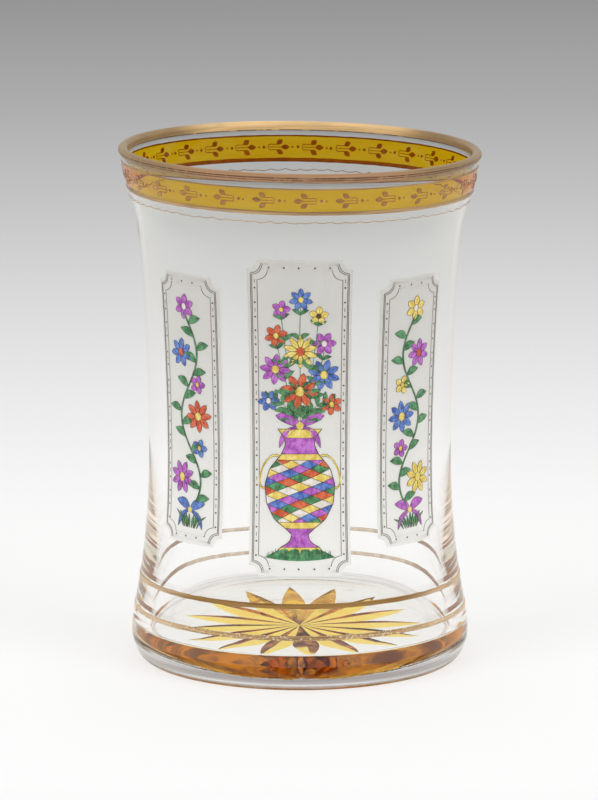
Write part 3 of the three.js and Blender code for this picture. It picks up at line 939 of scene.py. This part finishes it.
def sprig(work, path, pairs, length):
    """A stem with pointed leaves in pairs, smaller towards its tip, each with a middle vein."""
    work.stroke(path, 0.16, "green", PAINT - 0.02)
    for share in np.linspace(0.12, 0.9, pairs):
        root, way = along(path, share), along(np.gradient(path, axis=0), share)
        way /= np.linalg.norm(way)
        size = length * (1 - 0.45 * share)
        for side in (-1, 1):
            out = np.array([-way[1], way[0]]) * side
            tip = root + (way * 0.55 + out * 0.85) * size
            middle = work.leaf(root, tip, size * 0.42, "green", side * -0.12 * size, 7, 0.07)[2]
            work.crease(middle[1:-1], 0.05)


LOZENGES = ("purple", "green", "yellow", "blue", "red", "white")


def vase(work, foot):
    """A footed vase: its half width goes by height through set shares of the belly, and lozenges in
    six colours cover its body between two yellow bands."""
    levels = np.array([0, 0.04, 0.09, 0.15, 0.2, 0.27, 0.4, 0.55, 0.68, 0.8, 0.88, 0.94, 1.0])
    shares = np.array([0.62, 0.6, 0.3, 0.22, 0.4, 0.72, 0.95, 1.0, 0.86, 0.52, 0.4, 0.46, 0.62])

    def edge(level, side):
        return np.column_stack([side * VASE_BELLY * np.interp(level, levels, shares),
                                foot + level * VASE_HEIGHT])

    for low, high, tone, steps in ((0, 0.05, "yellow", 3), (0.05, 0.2, "purple", 9),
                                   (0.2, 0.25, "yellow", 4), (0.75, 0.8, "yellow", 4),
                                   (0.8, 0.93, "purple", 9), (0.93, 1.0, "yellow", 4)):
        level = np.linspace(low, high, steps)
        work.patch(edge(level, -1), edge(level, 1), tone, PAINT, 5)
    rows, columns, low, high = 7, 3, 0.25, 0.75
    step = (high - low) / rows
    q = np.linspace(-1, 1, 5)
    reach = (1 - np.abs(q)).clip(0.02) / columns
    for j in range(rows * 2 + 1):
        level = np.clip(low + step * (j + q) / 2, low, high)
        if np.ptp(level) < step * 0.4:
            continue
        for i in range(-columns, columns + 1):
            if (i + j) % 2:
                continue
            left, right = [edge(level, np.clip(i / columns + way * reach, -1, 1)) for way in (-1, 1)]
            centre = (left + right).mean(0) / 2
            inner = [centre + (side - centre) * 0.94 for side in (left, right)]
            work.patch(*inner, LOZENGES[(2 * j + (i + j) // 2) % 6])
            if abs(i) < columns and 0 < j < rows * 2:
                work.ring(np.vstack([left, right[::-1]]), 0.08)
    for side in (-1, 1):
        work.crease(edge(np.linspace(0, 1, 40), side), 0.17)
    for level in (0, 0.05, 0.2, 0.25, 0.75, 0.8, 0.93, 1.0):
        work.crease(edge(np.full(7, level), np.linspace(-1, 1, 7)), 0.12)
    for side in (-1, 1):
        loop = bezier(edge(0.78, side)[0], (side * 3.4, 1.8), (side * 2.9, -0.6),
                      edge(0.5, side)[0] + (0, 0.02 * VASE_HEIGHT), 16)
        work.stroke(loop, 0.42, "yellow")
        for offset in (-0.24, 0.24):
            work.crease(loop + (0, offset), 0.07, 0.02)


def bow(work, place, size, tone="purple"):
    """A ribbon bow: two loops and two tails, as bent leaves about a knot, with crease lines."""
    for side in (-1, 1):
        for tip, width, bend in (((side * 1.0, 0.42), 0.5, 0.12), ((side * 0.85, -0.95), 0.26, 0.2)):
            middle = work.leaf(place, place + np.array(tip) * size, width * size, tone,
                               side * bend * size, outline=0.08, full=0.7)[2]
            work.crease(middle[1:6])
    work.dot(*place, size * 0.16, "yellow", PAINT + 0.06)


def front_design(name, azimuth):
    """A vase of lozenges on a grassy mound between two parabolas, with a tall bouquet over it."""
    bottom = heights(name)[0]
    ground, body, flowers, ribbon = [Brushwork(azimuth) for _ in range(4)]
    x = np.linspace(-7.6, 7.6, 25)
    ground.patch(np.column_stack([x, bottom + 6.6 - 0.045 * x**2]),
                 np.column_stack([x, bottom + 3.4 + 0.012 * x**2]), "green", PAINT, 5)
    draw = np.random.default_rng(3)
    for at in draw.uniform(-7, 7, 54):
        z = bottom + 3.7 + draw.uniform(0, 0.75) * (2.9 - 0.045 * at**2)
        lean = draw.uniform(-0.35, 0.35)
        ground.crease([(at, z), (at + lean / 2, z + 0.5), (at + lean, z + 0.95)], 0.1, 0.02, 0.6)
    ground.made(name + "_mound")

    vase(body, bottom + VASE_FOOT)
    body.made(name + "_vase")

    mouth = np.array([0, bottom + VASE_FOOT + VASE_HEIGHT])
    for start, a, b, end in (((-0.9, 0), (-1.5, 9), (1.2, -6), (-5.0, 19.5)),
                             ((0.9, 0), (1.5, 9), (-1.2, -6), (5.1, 17.0)),
                             ((0, 0), (0.4, 9), (-0.6, -9), (0.2, 28)),
                             ((-0.6, 0), (-2, 5), (2.6, 0.8), (-6.9, 6.6)),
                             ((0.6, 0), (2, 5), (-2.6, 0.8), (7.0, 6.0)),
                             ((0.3, 0), (1.5, 6), (-0.4, -5), (3.9, 24.6)),
                             ((-0.3, 0), (-1.2, 6), (0.4, -5), (-4.0, 26.0))):
        sprig(flowers, bezier(mouth + start, a, b, mouth + end, 14), 5, 3.4)
    for x, z, radius, petals, tone, heart, turn in (
            (0, 8.4, 4.1, 8, "red", "yellow", 0.2), (-5.2, 13.2, 3.4, 8, "purple", "yellow", 0.1),
            (5.1, 12.0, 3.5, 8, "blue", "yellow", 0.3), (0.1, 17.2, 3.7, 10, "yellow", "red", 0.0),
            (-6.7, 6.2, 2.4, 6, "blue", "white", 0.4), (6.8, 5.4, 2.4, 6, "red", "yellow", 0.1),
            (-5.0, 20.6, 2.5, 6, "red", "yellow", 0.2), (5.1, 18.9, 2.6, 6, "purple", "white", 0.5),
            (-3.9, 26.4, 2.0, 5, "purple", "yellow", 0.2), (3.9, 25.0, 2.1, 5, "yellow", "brown", 0.1),
            (0.2, 28.6, 2.5, 7, "blue", "yellow", 0.0)):
        flower(flowers, mouth + (x, z), radius, petals, tone, heart, turn)
    flowers.made(name + "_bouquet")

    bow(ribbon, mouth + (0, 0.8), 5.2)
    ribbon.made(name + "_bow")


def side_design(name, azimuth, side, main, second, third):
    """A vine that winds up the panel as a sine that narrows, with leaves along it and a flower in
    each bend; a bow ties its foot over a tuft of grass."""
    bottom, top = heights(name)
    work, flowers, ribbon = [Brushwork(azimuth) for _ in range(3)]
    foot, head = bottom + 7.0, top - 8.5
    t = np.linspace(0, 1, 60)
    vine = np.column_stack([side * 3.1 * np.sin(TAU * 1.55 * t) * (1 - 0.25 * t),
                            foot + (head - foot) * t])
    work.stroke(vine, 0.34, "green")
    for offset in (-0.2, 0.2):
        work.crease(vine + (offset, 0), over=0.01)
    draw = np.random.default_rng(int(abs(azimuth) * 100) + side)
    for k, share in enumerate(np.linspace(0.06, 0.95, 15)):
        out = (-1) ** k
        reach = np.array([out * (3.4 + draw.uniform(-0.3, 0.3)), 1.3 + draw.uniform(-0.4, 0.6)])
        at = along(vine, share)
        work.crease(work.leaf(at, at + reach, 1.75, "green", out * 0.4, outline=0.08)[2][1:-1])
    for k in range(9):
        x = -4 + k + draw.uniform(-0.2, 0.2)
        work.leaf((x * 0.5, bottom + 3.6), (x * 1.1, bottom + 6.4 + draw.uniform(-0.4, 0.8)), 0.5,
                  "green", 0.1 * x, 6, 0.06)
    work.made(name + "_vine")

    for share, tone, heart, size, petals in ((0.17, main, "yellow", 3.7, 8),
                                             (0.49, second, "yellow", 3.6, 8),
                                             (0.8, third, "red", 3.2, 7)):
        flower(flowers, along(vine, share) * (-0.9, 1), size, petals, tone, heart, 0.2 + share)
    flower(flowers, vine[-1] + (0, 1.4), 2.8, 6, main, "white", 0.1)
    for share, tone in ((0.33, third), (0.65, main)):
        flower(flowers, along(vine, share) * (-0.8, 1) + (side * 2.5, 0), 2.1, 5, tone, "yellow", 0.3)
    flowers.made(name + "_flowers")

    bow(ribbon, np.array([0, bottom + 7.6]), 4.2, third)
    ribbon.made(name + "_bow")


# The object

glass_body()
slots = frame["nodes"]["star_stain"].data.materials
slots.clear()
slots.append(star_film())
stained_band()
lip_gilding()
gilt_ring("band_top_line", "line", "under", 11, size=0.03)
gilt_ring("band_bottom_line", "line", "under", 13)
gilt_ring("lower_hoop", "worn", "pale", 15)
gilt_ring("upper_hoop", "hoop", "pale", 17)
scalloped_line()
trefoils()

side_azimuth = (FRONT_WIDTH / 2 + PANEL_GAP + SIDE_WIDTH / 2) / WAIST_RADIUS
for name, azimuth, width in (("front_panel", 0, FRONT_WIDTH), ("left_panel", -side_azimuth, SIDE_WIDTH),
                             ("right_panel", side_azimuth, SIDE_WIDTH)):
    panel_ground(name, azimuth, width)
    panel_border(name, azimuth, width)
front_design("front_panel", 0)
side_design("left_panel", -side_azimuth, 1, "purple", "red", "blue")
side_design("right_panel", side_azimuth, -1, "yellow", "blue", "purple")


# Studio


FLOOR_DROP = 0.15
LENS_LENGTH, SENSOR_WIDTH = 301.3, 36
CAMERA_PLACE = (-0.0002, -1.4532, 0.3539)
CAMERA_TILT = 11.523
LIGHT_BOUNCES = 28


def floor():
    """A round floor: rings from the middle out, closed to a point there. It lies a hair under the resting
    face, and its colour greys off away from the glass, behind it and in front, as painted shade for light
    that falls off with distance."""
    radii, columns = np.concatenate([np.linspace(0.05, 1.2, 24), [1.6, 2.4, 4.0]]) * 1000, 96
    points = around(radii[:, None], circle(columns), -FLOOR_DROP).reshape(-1, 3)
    faces = [*flipped(grid_faces(len(radii), columns, closed_columns=True)).tolist(),
             *fan(columns, 0, len(points)).tolist()]
    points = np.vstack([points, [[0, 0, -FLOOR_DROP]]])
    f = material("pale_floor", (0.9, 0.9, 0.9))
    x, y, _ = f.axes()
    behind = y.math("MAXIMUM", y, y * -1.4)
    away = (x * x * 0.16 + behind * behind) ** 0.5 / 1.1
    # Painted shade: the floor's colour greys off with distance from the glass.
    stops = [(0.0, 0.93), (0.145, 0.9), (0.257, 0.81), (0.387, 0.695), (0.539, 0.556),
             (0.72, 0.422), (0.926, 0.321), (1.0, 0.297)]
    tone = f.node("ShaderNodeValToRGB", {"stops": stops}, {"Fac": away})
    cloud = f.noise(3, 2, 0.5)
    surface = f.principled(Base_Color=f.blend(cloud * 0.04, tone, (0.9, 0.9, 0.9)), Roughness=0.9,
                           Specular_IOR_Level=0.0)
    mesh = bpy.data.meshes.new("floor")
    mesh.from_pydata((points * MM).tolist(), [], faces)
    mesh.materials.append(f.done(surface))
    made = placed("floor", mesh)


def lamp(name, place, aim, size, power):
    """A rectangular lamp in metres and watts, turned towards its aim and itself unseen."""
    data = bpy.data.lights.new(name, "AREA")
    data.shape, data.size, data.size_y, data.energy = "RECTANGLE", *size, power
    made = placed(name, data)
    made.location = place
    made.rotation_euler = (Vector(aim) - Vector(place)).to_track_quat("-Z", "Y").to_euler()
    made.visible_camera = made.visible_glossy = made.visible_transmission = False


def world():
    """Soft room light: bright overhead, pale at both sides and behind, and greyer at the front."""
    f = Finish(bpy.data.worlds.new("studio"))
    x, y, z = f.axes(f.node("ShaderNodeTexCoord", output="Generated"))
    sides = (x * x).ramp(0.25, 0.8)
    ahead = f.blend(y.ramp(-0.3, 0.3), (0.5, 0.5, 0.505), (0.84, 0.84, 0.84))
    low = f.blend(sides, ahead, (0.94, 0.94, 0.94))
    grey = f.blend(z.ramp(0.1, 0.85), low, (0.83, 0.83, 0.83))
    background = f.node("ShaderNodeBackground", inputs={"Color": grey, "Strength": 1.0})
    f.node("ShaderNodeOutputWorld", inputs={"Surface": background})
    bpy.context.scene.world = f.owner


floor()
world()
lamp("overhead", (0, 0.1, 1.7), (0, 0, 0), (1.4, 1.4), 2.9)
for name, x in (("left_softbox", -0.95), ("right_softbox", 0.95)):
    lamp(name, (x, -0.9, 0.75), (0, 0, 0.06), (0.6, 0.9), 4.5)

scene = bpy.context.scene
camera = placed("camera", bpy.data.cameras.new("camera"))
camera.data.lens, camera.data.sensor_width = LENS_LENGTH, SENSOR_WIDTH
camera.location = CAMERA_PLACE
camera.rotation_euler = (np.radians(90 - CAMERA_TILT), 0, 0)
scene.camera = camera
scene.view_settings.view_transform = "Standard"
scene.cycles.max_bounces = scene.cycles.transmission_bounces = LIGHT_BOUNCES
scene.cycles.glossy_bounces = scene.cycles.transparent_max_bounces = LIGHT_BOUNCES
